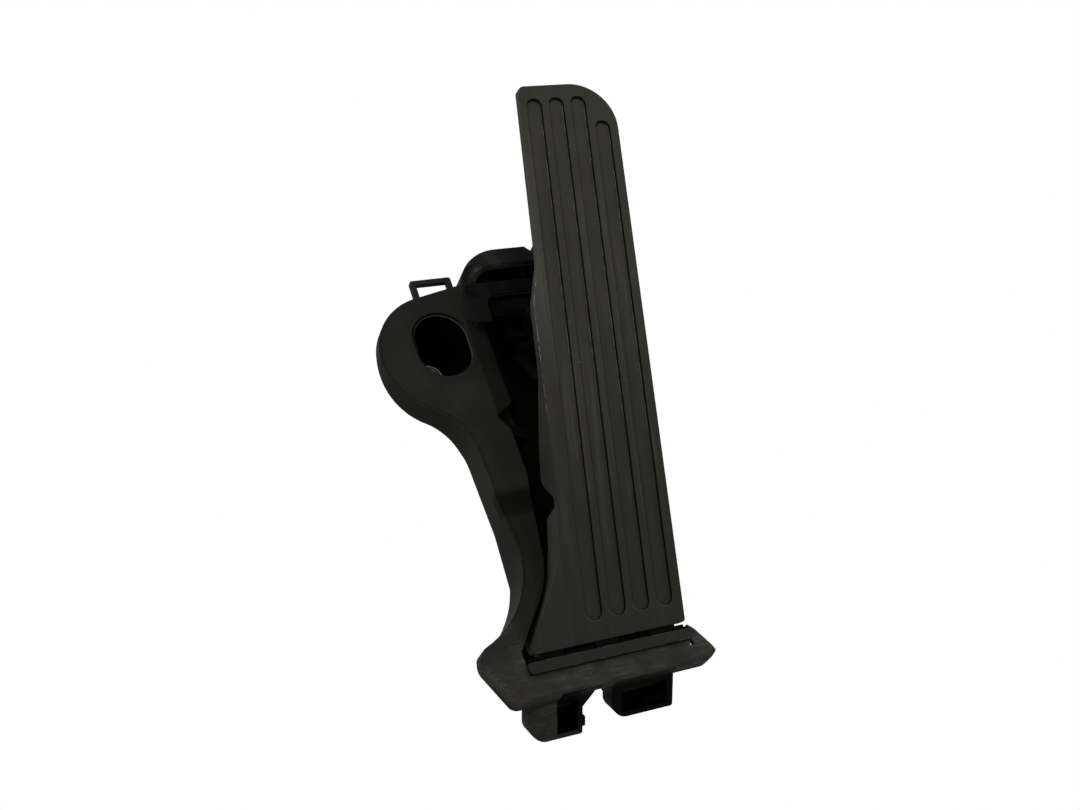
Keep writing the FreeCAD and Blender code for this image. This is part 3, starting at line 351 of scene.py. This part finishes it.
def shade_corners(tree, colour, place, around):
    """Painted shade in the hole's mouth, in the crease along the arm's edge, under and below the hood, on the
    hood's bevel (but for streaks of painted sheen, and darkest at its right), on the box's flank, on the
    ear's face towards the right and across the arm; and a painted highlight on the shoulder of the arm's
    rounded edge.
    """
    x, y, z = place
    upper_left = step_between(tree, calc(tree, "MULTIPLY_ADD", x, -0.8, z), -0.006, 0.006)
    mouth = product(tree, within(tree, around, 0.0115, 0.0121, 0.0003), upper_left,
                    within(tree, y, None, -0.0305))
    outline = product(tree, within(tree, z, -0.108, 0.006, 0.012), within(tree, x, None, 0.0045, 0.002),
                      step_between(tree, around, 0.0150, 0.0165))
    brink = edge_line(tree, 0.0016)
    inside = calc(tree, "SUBTRACT", edge_line(tree, 0.0042), brink, clamp=True)
    crease = product(tree, inside, within(tree, y, None, -0.0318, 0.0002), outline)
    shoulder = product(tree, brink, within(tree, y, None, -0.0300, 0.002), outline)
    # Painted highlight: the shoulder along the arm's rounded edge is painted lighter.
    colour = paint(tree, colour, shoulder_highlight_grey, shoulder, 0.15)
    hood = product(tree, within(tree, z, 0.0213, None, 0.0004), within(tree, x, 0.0186, None, 0.0004),
                   within(tree, y, -0.0330, -0.0250, 0.001))
    sheen = highest(tree, within(tree, x, 0.0235, 0.0262, 0.0022), within(tree, x, 0.0340, 0.0366, 0.0026))
    apron_share = calc(tree, "MULTIPLY_ADD", step_between(tree, x, 0.024, 0.042), 0.32, 0.56)
    # Painted shade: each mask below darkens the colour towards near black.
    shaded = [
        product(tree, mouth, 0.92),
        product(tree, crease, 0.80),
        product(tree, hood, calc(tree, "MULTIPLY_ADD", sheen, -0.55, 0.45)),
        product(tree, hood, step_between(tree, x, 0.036, 0.050), 0.98),
        product(tree, in_box(tree, place, hood_apron, 0.0002), apron_share),
        product(tree, in_box(tree, place, box_flank), 0.15),
        product(tree, within(tree, x, 0.004, None, 0.022), within(tree, z, -0.006, None, 0.012), 0.26),
        product(tree, within(tree, z, -0.0765, -0.0705, 0.005), within(tree, y, -0.040, -0.028), 0.72),
        product(tree, within(tree, z, -0.128, -0.086, 0.012), 0.38),
    ]
    for mask in shaded:
        colour = paint(tree, colour, shade_black, mask)
    return colour


def catch_rims(tree, colour, place, around):
    """Thin lines of light on the access hole's rim and on the hood's brow."""
    x, y, z = place
    upper_right = step_between(tree, calc(tree, "MULTIPLY_ADD", x, 0.7, z), -0.004, 0.004)
    rim = product(tree, within(tree, around, 0.0112, 0.0114, 0.0001), within(tree, y, None, -0.0308, 0.0003),
                  upper_right, 0.7)
    brow = product(tree, in_box(tree, place, hood_brow, 0.0002), 0.5)
    return paint(tree, colour, rim_grey, highest(tree, rim, brow))


def darken_rooms(tree, colour, place, around):
    """Painted shade, near black, in rooms that light barely reaches: the hole's tube, the box, the spaces
    behind the plate and arm, the gaps and the claws' windows; and a painted patch of light slanting across
    the box."""
    x, y, z = place
    below = within(tree, z, None, claw_top_z, 0.001)
    cup = within(tree, claw_depth(tree, place), 0.0004, None, 0.0004)
    window_top = highest(tree, cup, within(tree, z, -0.1575, None, 0.0006))
    rooms = [
        in_box(tree, place, lever_room),
        product(tree, in_box(tree, place, hood_room), 0.80),
        in_box(tree, place, hinge_gap, 0.0002),
        in_box(tree, place, ear_slot, 0.0003),
        product(tree, in_box(tree, place, plate_room), 0.97),
        product(tree, in_box(tree, place, arm_wall), 0.92),
        product(tree, within(tree, around, None, 0.0110, 0.0002), within(tree, y, -0.0309, None, 0.0004)),
        product(tree, within(tree, x, -0.0019, 0.0069, 0.0002), below, window_top),
        product(tree, within(tree, x, 0.0249, 0.0444, 0.0002), cup, below),
        product(tree, within(tree, x, 0.0070, 0.0150, 0.0002), below, 0.75),
        product(tree, within(tree, x, 0.0205, 0.0462, 0.0006), below,
                within(tree, y, -0.040, -0.012, 0.001), 0.85),
    ]
    colour = paint(tree, colour, room_black, highest(tree, *rooms))
    # Painted light: a slanting patch of light in the box.
    slanted = calc(tree, "MULTIPLY_ADD", x, 1.8, calc(tree, "SUBTRACT", z, 0.0890))
    lit = product(tree, within(tree, slanted, -0.0045, 0.0045, 0.004),
                  within(tree, y, -0.0135, -0.0014, 0.001), within(tree, z, -0.004, 0.018, 0.003))
    return paint(tree, colour, patch_grey, lit, 0.9)


def housing_marks(tree, colour, edge):
    """Rubbed flange, painted shade in corners, painted lines of light, and painted shade in the deep rooms.
    """
    place = spot(tree)
    around = hole_distance(tree, place)
    colour = rub_flange(tree, colour, place)
    colour = shade_corners(tree, colour, place, around)
    colour = catch_rims(tree, colour, place, around)
    return darken_rooms(tree, colour, place, around)


housing_nylon = plastic("housing_nylon", housing_black, housing_dust, 0.58, edge_colour=housing_edge,
                        edge=0.0009, film=0.12, scuffs=0.08, level=0.015, finish=housing_marks)
dress(housing_nylon, "module_housing")


# Tread plate
# A long thin-walled moulding of the same nylon with four shallow grooves. A painted highlight lies on its
# left margin, and a pale broken line along part of its left edge. Painted shade darkens the grooves' walls.

plate_black = (0.0300, 0.0289, 0.0233)
plate_dust = (0.058, 0.056, 0.048)
plate_edge = (0.060, 0.058, 0.050)
foot_black = (0.0092, 0.0089, 0.0072, 1)
trodden_and_highlight_grey = (0.075, 0.073, 0.064, 1)
streak_black = (0.0060, 0.0058, 0.0048, 1)
glint_grey = (0.12, 0.12, 0.11, 1)
fleck_pale = (0.16, 0.16, 0.15, 1)
lip_highlight_grey = (0.055, 0.054, 0.047, 1)
groove_shade_black = (0.0008, 0.0008, 0.0006, 1)
flank_lit_grey = (0.050, 0.049, 0.042, 1)
corner_pale = (0.42, 0.42, 0.40, 1)

plate_lean = math.radians(12.71)
plate_toe = math.tan(math.radians(8.25))
plate_foot_y = -0.038
plate_foot_z = -0.1367
plate_left_x = -0.0098
groove_pitch = 0.0101
first_groove = 0.0276
groove_radius = 0.00333
outline_radius = 0.00336
grooves_low = 0.0078
grooves_high = 0.2222
last_groove_shorter = 0.0118
tread_lines = ("Height", "Across", "Depth", "Off", "Side", "Past")


def make_tread_group():
    """Tread frame: height, place across and depth on the leaning face, and distance from a groove's outline.

    A point is turned back by the plate's lean; Across is its x less the lean of the grooves times its height.
    The grooves repeat at their pitch, with Side the place across the nearest one. Off is the distance from a
    slot: the length of (w, q) less the groove's radius, with w the place across the groove and q, given out
    as Past, how far the point lies past the slot's straight part.
    """
    tree, _, out = new_group("tread_frame", [], [(label, "Float") for label in tread_lines])
    x, y, z = spot(tree)
    dy = calc(tree, "ADD", y, -plate_foot_y)
    dz = calc(tree, "ADD", z, -plate_foot_z)
    depth = calc(tree, "MULTIPLY_ADD", dy, math.cos(plate_lean), product(tree, dz, math.sin(plate_lean)))
    height = calc(tree, "MULTIPLY_ADD", dz, math.cos(plate_lean), product(tree, dy, -math.sin(plate_lean)))
    across = calc(tree, "MULTIPLY_ADD", height, -plate_toe, calc(tree, "ADD", x, -plate_left_x))
    offset = calc(tree, "SUBTRACT", across, first_groove)
    side = calc(tree, "WRAP", offset, groove_pitch / 2, -groove_pitch / 2)
    last = calc(tree, "GREATER_THAN", across, first_groove + 2.5 * groove_pitch)
    top = calc(tree, "MULTIPLY_ADD", last, -last_groove_shorter, grooves_high - groove_radius)
    above = calc(tree, "MAXIMUM", calc(tree, "SUBTRACT", height, top), 0.0)
    below = calc(tree, "MAXIMUM", calc(tree, "SUBTRACT", grooves_low + groove_radius, height), 0.0)
    past = calc(tree, "SUBTRACT", above, below)
    wide = calc(tree, "MULTIPLY_ADD", past, plate_toe, side)
    reach = calc(tree, "SQRT", calc(tree, "MULTIPLY_ADD", wide, wide, product(tree, past, past)))
    off = calc(tree, "SUBTRACT", reach, outline_radius)
    for label, value in zip(tread_lines, (height, across, depth, off, side, past)):
        tree.links.new(value, out.inputs[label])
    return tree


tread_frame = make_tread_group()


def wear_and_highlight_face(tree, colour, height, across, front):
    """Face darker towards its foot, lengthwise lines worn by soles, and a painted highlight on the left
    margin.
    """
    foot = opposite(tree, step_between(tree, height, -0.010, 0.190))
    colour = paint(tree, colour, foot_black, foot, 0.54)
    along = add_node(tree, "ShaderNodeCombineXYZ")
    plug(tree, across, along.inputs["X"])
    plug(tree, height, along.inputs["Y"])
    lengthwise = cloud(tree, 330.0, 5.0, stretch=(1, 0.05, 1), roughness=0.62, where=along.outputs["Vector"])
    trodden = calc(tree, "MULTIPLY_ADD", within(tree, height, 0.060, 0.160, 0.050), 0.16, 0.05)
    colour = paint(tree, colour, trodden_and_highlight_grey, step_between(tree, lengthwise, 0.48, 0.68), trodden)
    colour = paint(tree, colour, streak_black, step_between(tree, lengthwise, 0.46, 0.30), 0.18)
    # Painted highlight: the face's left margin is painted lighter.
    margin = product(tree, within(tree, across, None, 0.0240, 0.0006), front,
                     within(tree, height, 0.140, 0.185, 0.045))
    return paint(tree, colour, trodden_and_highlight_grey, margin, 0.26)


def tread_marks(tree, colour, edge):
    """Worn face; grooves with painted shade on their walls and upper ends, a painted glint beside them and a
    painted highlight on their lower lips; painted shade on the knuckles under the foot; the left side's pale
    marks and painted light low on its flank.
    """
    face = place_group(tree, tread_frame)
    height, across, depth, off, side, past = (face.outputs[label] for label in tread_lines)
    front = within(tree, depth, -0.001, 0.0011, 0.0002)
    colour = wear_and_highlight_face(tree, colour, height, across, front)
    grooved = product(tree, within(tree, across, 0.0230, 0.0624, 0.0002),
                      within(tree, height, 0.004, 0.226, 0.0002))
    right_hand = step_between(tree, side, 0.0, 0.0012)
    floor = within(tree, depth, 0.0007, 0.0011, 0.0001)
    # Painted glint: a thin light line on each groove's floor along its right wall.
    glint = product(tree, within(tree, off, -0.00050, -0.00015, 0.0001), right_hand, floor, grooved)
    uneven = step_between(tree, cloud(tree, 210.0, 3.0), 0.45, 0.60)
    shine = calc(tree, "MULTIPLY_ADD", uneven, 0.5, 0.12)
    colour = paint(tree, colour, glint_grey, glint, shine, step_between(tree, height, 0.03, 0.13))
    flecks = step_between(tree, cloud(tree, 900.0, 2.0), 0.70, 0.74)
    worn = product(tree, within(tree, off, -0.0002, 0.0005, 0.0002), grooved, front, flecks,
                   step_between(tree, height, 0.03, 0.12))
    colour = paint(tree, colour, fleck_pale, worn, 0.6)
    # Painted highlight: a light arc on the lip round each groove's lower end.
    lip = product(tree, within(tree, off, 0.0001, 0.0006, 0.0002),
                  step_between(tree, past, 0.0, -0.001), grooved)
    colour = paint(tree, colour, lip_highlight_grey, lip, 0.2)
    wall = product(tree, within(tree, depth, 0.00008, 0.00084, 0.00004),
                   within(tree, off, -0.0003, 0.0003, 0.0001))
    brink = product(tree, within(tree, off, -0.0001, 0.00022, 0.0001), right_hand, front)
    upper_end = step_between(tree, past, 0.0008, 0.0022)
    crescent = product(tree, within(tree, off, -0.0008, 0.0003, 0.0003), upper_end, floor)
    fine = product(tree, within(tree, off, -0.00042, 0.0001, 0.0001), opposite(tree, right_hand), floor)
    # Painted shade: the grooves' walls, right brinks, upper ends and left lines, and the hinge knuckles under
    # the plate's foot, are painted near black.
    dark = [
        product(tree, wall, grooved),
        product(tree, brink, grooved, 0.8),
        product(tree, crescent, grooved, 0.85),
        product(tree, fine, grooved, 0.60),
        product(tree, within(tree, height, None, 0.0001, 0.0001), within(tree, depth, 0.0003, None, 0.0002)),
        product(tree, within(tree, height, None, 0.0026, 0.0008), within(tree, depth, 0.0014, None, 0.0006)),
    ]
    colour = paint(tree, colour, groove_shade_black, highest(tree, *dark))
    # Painted light: the left flank is painted lighter low down.
    flank = product(tree, within(tree, depth, 0.0012, None, 0.0004),
                    within(tree, across, None, 0.0232, 0.0004))
    colour = paint(tree, colour, flank_lit_grey, flank, within(tree, height, None, 0.0540, 0.0004), 0.42)
    corner = product(tree, edge, within(tree, across, None, 0.0195, 0.0004),
                     within(tree, height, 0.095, 0.150, 0.008))
    return paint(tree, colour, corner_pale, corner, 0.9)


plate_nylon = plastic("plate_nylon", plate_black, plate_dust, 0.52, edge_colour=plate_edge,
                      edge=0.00035, grain=2200.0, film=0.12, scuffs=0.08, level=0.03, finish=tread_marks)
dress(plate_nylon, "pedal_plate")


# Hinge strip and pins
# The strip is a smooth moulded bar over the hinge, set in the flange. The hinge's pin is blackened steel,
# and the lever's shaft is drawn bright.

# Painted highlight: the strip's edges are painted pale.
strip_nylon = plastic("strip_nylon", (0.0150, 0.0144, 0.0117), (0.05, 0.05, 0.043), 0.48,
                      edge_colour=(0.085, 0.083, 0.073), edge=0.0005, edge_share=0.9, film=0.12,
                      scuffs=0.2, level=0.03)
dress(strip_nylon, "hinge_strip")


def metal(name, base, rough, grain=900.0, tarnish=(0.2, 0.19, 0.17), finish=None):
    """Plated or drawn metal: drawn-out noise for tool marks, slow noise for tarnish, the piece's marks."""
    edge_radius, mark_depth, rough_swing = 0.0003, 0.00001, 0.2
    material = bpy.data.materials.new(name)
    material.use_nodes = True
    tree = material.node_tree
    shader = tree.nodes["Principled BSDF"]
    shader.inputs["Metallic"].default_value = 1.0
    edges = place_group(tree, rounded_edge, Radius=edge_radius)
    marks = cloud(tree, grain, 2.0, stretch=(1, 0.15, 1))
    dull = step_between(tree, cloud(tree, 180.0, 4.0), 0.5, 0.75)
    colour = blend_colour(tree, dull, shade_of(base), shade_of(tarnish))
    if finish:
        colour = finish(tree, colour)
    tree.links.new(colour, shader.inputs["Base Color"])
    tree.links.new(calc(tree, "MULTIPLY_ADD", marks, rough_swing, rough), shader.inputs["Roughness"])
    bump = add_node(tree, "ShaderNodeBump")
    bump.inputs["Distance"].default_value = mark_depth
    tree.links.new(marks, bump.inputs["Height"])
    tree.links.new(edges.outputs["Normal"], bump.inputs["Normal"])
    tree.links.new(bump.outputs["Normal"], shader.inputs["Normal"])
    return material


drawn_steel = metal("drawn_steel", (0.55, 0.55, 0.54), 0.22)
dress(drawn_steel, "lever_shaft")
blackened_steel = metal("blackened_steel", (0.012, 0.012, 0.011), 0.45, tarnish=(0.02, 0.018, 0.015))
dress(blackened_steel, "hinge_pin")


# Bolt sleeve and cover screws
# A turned and zinc-plated steel sleeve pressed in the bolt seat; the bolt's head bears on it. The sensor
# cover's screws are plated alike, and newer.

sleeve_dark_radius = 0.0053


def sleeve_face(tree, colour):
    """Face of the sleeve: dark inside a radius, bright along the rim outside it."""
    x, _, z = spot(tree)
    radius = calc(tree, "SQRT", calc(tree, "MULTIPLY_ADD", x, x, product(tree, z, z)))
    inner = within(tree, radius, None, sleeve_dark_radius, 0.0001)
    return paint(tree, colour, (0.055, 0.054, 0.050, 1), inner, 0.85)


zinc_tarnish = (0.34, 0.33, 0.30)
zinc_plate = metal("zinc_plate", (0.66, 0.65, 0.62), 0.28, grain=1400.0, tarnish=zinc_tarnish)
dress(zinc_plate, "cover_screw")
worn_zinc = metal("worn_zinc", (0.62, 0.61, 0.58), 0.34, grain=1400.0, tarnish=zinc_tarnish,
                  finish=sleeve_face)
dress(worn_zinc, "spacer_sleeve")


# Return lever
# A black acetal lever with its slippery shoe, and the pad on the plate that the shoe slides on. The shaft's
# bushes, the springs' seat and their cap are moulded of the same acetal as the shoe.

hub_back_y = -0.0170


def lever_marks(tree, colour, edge):
    """Painted shade, near black, on the lever in front, around the hub; behind it the lever keeps a paler
    colour, in part painted light on its lit band.
    """
    y = spot(tree)[1]
    hub = within(tree, y, None, hub_back_y, 0.005)
    return paint(tree, colour, (0.0006, 0.0006, 0.0005, 1), hub, 0.95)


lever_acetal = plastic("lever_acetal", (0.0320, 0.0310, 0.0255), (0.03, 0.03, 0.026), 0.50,
                       edge_colour=(0.020, 0.020, 0.017), film=0.08, scuffs=0.0, level=0.02,
                       finish=lever_marks)
dress(lever_acetal, "lever")
slider_acetal = plastic("slider_acetal", (0.004, 0.004, 0.0034), (0.02, 0.02, 0.018), 0.45, edge=0.0004,
                        film=0.05, scuffs=0.0, level=0.03)
dress(slider_acetal, "lever_shoe", "slide_pad", "shaft_bush", "spring_seat", "spring_cap")


# Return springs
# Two coiled springs of oil-tempered wire, one inside the other, between the lever's seat and the cap. They
# shorten as the lever turns.

spring_wire = metal("spring_wire", (0.10, 0.10, 0.105), 0.40, grain=2000.0, tarnish=(0.05, 0.045, 0.04))
dress(spring_wire, "return_spring_outer", "return_spring_inner", "shaft_clip")
closed_turn = 0.75


def coil(node, wire, turns, steps=28, sides=10):
    """Helix of round wire in the box of a CAD spring, with its end turns closed.

    The centre line is (r cos a, r sin a, z) with a = 2 pi n t, r half the box's width less the wire's radius
    w, and z = low + w + e (high - low - 2 w), where e = (n t - c) / (n - 2 c), held between 0 and 1, with c
    the closed part of a turn at each end. A point of the wire lies w cos b outwards and w sin b upwards.
    """
    corners = np.array([nodes[node].matrix_world @ Vector(corner) for corner in nodes[node].bound_box])
    low, high = corners.min(axis=0), corners.max(axis=0)
    middle = (low + high) / 2
    radius = (high[0] - low[0]) / 2 - wire
    turned = np.linspace(0, turns, int(steps * turns) + 1)
    angle = 2 * np.pi * turned
    eased = np.clip((turned - closed_turn) / (turns - 2 * closed_turn), 0, 1)
    rise = low[2] + wire + eased * (high[2] - low[2] - 2 * wire)
    around = 2 * np.pi * np.arange(sides) / sides
    reach = radius + wire * np.cos(around)
    points = np.stack([middle[0] + np.outer(np.cos(angle), reach),
                       middle[1] + np.outer(np.sin(angle), reach),
                       rise[:, None] + wire * np.sin(around)[None, :]], axis=-1).reshape(-1, 3)
    rings = len(turned)
    faces = [(i * sides + j, (i + 1) * sides + j,
              (i + 1) * sides + (j + 1) % sides, i * sides + (j + 1) % sides)
             for i in range(rings - 1) for j in range(sides)]
    faces.append(tuple(range(sides)))
    faces.append(tuple((rings - 1) * sides + j for j in reversed(range(sides))))
    mesh = bpy.data.meshes.new(node + "_coil")
    mesh.from_pydata(points.tolist(), [], faces)
    mesh.polygons.foreach_set("use_smooth", [len(face) == 4 for face in faces])
    mesh.materials.append(spring_wire)
    piece = bpy.data.objects.new(node + "_coil", mesh)
    bpy.context.scene.collection.objects.link(piece)
    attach(piece, "housing")
    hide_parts(node)
    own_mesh(piece)


coil("return_spring_outer", 0.0008, 5.0)
coil("return_spring_inner", 0.00055, 6.5)


# Stops and seal
# Moulded rubber: the buffer in the cross wall, the idle pad under the lever's horn, and the cover's seal.

stop_rubber = plastic("stop_rubber", (0.008, 0.008, 0.0075), (0.035, 0.034, 0.031), 0.76, film=0.15,
                      scuffs=0.0, level=0.1)
dress(stop_rubber, "end_buffer", "idle_stop", "cover_seal")


# Position sensor and cable guide
# A screwed cover with the connector socket; board, target and tinned contacts sit inside. The guide on the
# ear is of the same nylon as the cover.

cover_nylon = plastic("cover_nylon", (0.0150, 0.0145, 0.0118), (0.05, 0.05, 0.043), 0.52,
                      edge_colour=housing_edge, film=0.14, scuffs=0.1, level=0.03)
dress(cover_nylon, "sensor_cover", "cable_guide")
board_lacquer = plastic("board_lacquer", (0.02, 0.09, 0.035), (0.10, 0.12, 0.09), 0.3, film=0.05, scuffs=0.0)
dress(board_lacquer, "circuit_board")
tinned_contact = metal("tinned_contact", (0.72, 0.62, 0.38), 0.25)
dress(tinned_contact, "connector_pins")
target_plate = metal("target_plate", (0.68, 0.68, 0.69), 0.3)
dress(target_plate, "sensor_target")


# Camera
# It looks up at the pedal from the driver's footwell, below and to the left, with a slight roll.

camera_place = (-0.21748, -0.53161, -0.2824)
right = Vector((0.9031, -0.2953, -0.3117))
up = Vector((0.1342, -0.4953, 0.8582))
ahead = Vector((0.4079, 0.8169, 0.4077))
camera_data = bpy.data.cameras.new("camera")
camera_data.lens = 50.0
camera_data.sensor_width = 36.0
camera = bpy.data.objects.new("camera", camera_data)
camera_turn = Matrix((right, up, -ahead)).transposed().to_4x4()
camera.matrix_world = Matrix.Translation(camera_place) @ camera_turn
bpy.context.scene.collection.objects.link(camera)
bpy.context.scene.camera = camera


# Light, floor and backdrop
# Large soft lamps as in a studio, a pale floor well below the pedal, and a white world behind it.

def lamp(name, place, aim, size, power):
    """Square soft lamp at a place, turned to its aim."""
    data = bpy.data.lights.new(name, "AREA")
    data.shape = "SQUARE"
    data.size = size
    data.energy = power
    item = bpy.data.objects.new(name, data)
    item.location = place
    item.rotation_mode = "QUATERNION"
    item.rotation_quaternion = (Vector(aim) - Vector(place)).to_track_quat("-Z", "Y")
    bpy.context.scene.collection.objects.link(item)


lamp("key_lamp", (-0.7, -1.2, 0.9), (0.02, -0.03, -0.03), 0.9, 13.0)
lamp("fill_lamp", (1.1, -1.0, 0.2), (0.02, -0.03, -0.03), 1.1, 5.5)
lamp("low_lamp", (-1.0, -0.8, -0.4), (0.02, -0.03, -0.05), 1.5, 4.0)

sky_on_object = 0.45
sky_in_view = 1.0
world = bpy.data.worlds.new("studio")
bpy.context.scene.world = world
world.use_nodes = True
tree = world.node_tree
rays = add_node(tree, "ShaderNodeLightPath")
seen = highest(tree, rays.outputs["Is Camera Ray"], rays.outputs["Is Glossy Ray"],
               rays.outputs["Is Transmission Ray"])
strength = calc(tree, "MULTIPLY_ADD", seen, sky_in_view - sky_on_object, sky_on_object)
background = tree.nodes["Background"]
background.inputs["Color"].default_value = (1, 1, 1, 1)
tree.links.new(strength, background.inputs["Strength"])

floor_z = -0.42
floor_reach = 4
floor_corners = [(sx * floor_reach, sy * floor_reach, floor_z)
                 for sx, sy in ((-1, -1), (1, -1), (1, 1), (-1, 1))]
mesh = bpy.data.meshes.new("floor")
mesh.from_pydata(floor_corners, [], [(0, 1, 2, 3)])
floor = bpy.data.objects.new("floor", mesh)
bpy.context.scene.collection.objects.link(floor)
pale = bpy.data.materials.new("pale_floor")
pale.use_nodes = True
floor_shader = pale.node_tree.nodes["Principled BSDF"]
floor_shader.inputs["Base Color"].default_value = (0.8, 0.8, 0.8, 1)
floor_shader.inputs["Roughness"].default_value = 0.9
mesh.materials.append(pale)

bpy.context.scene.view_settings.view_transform = "Standard"
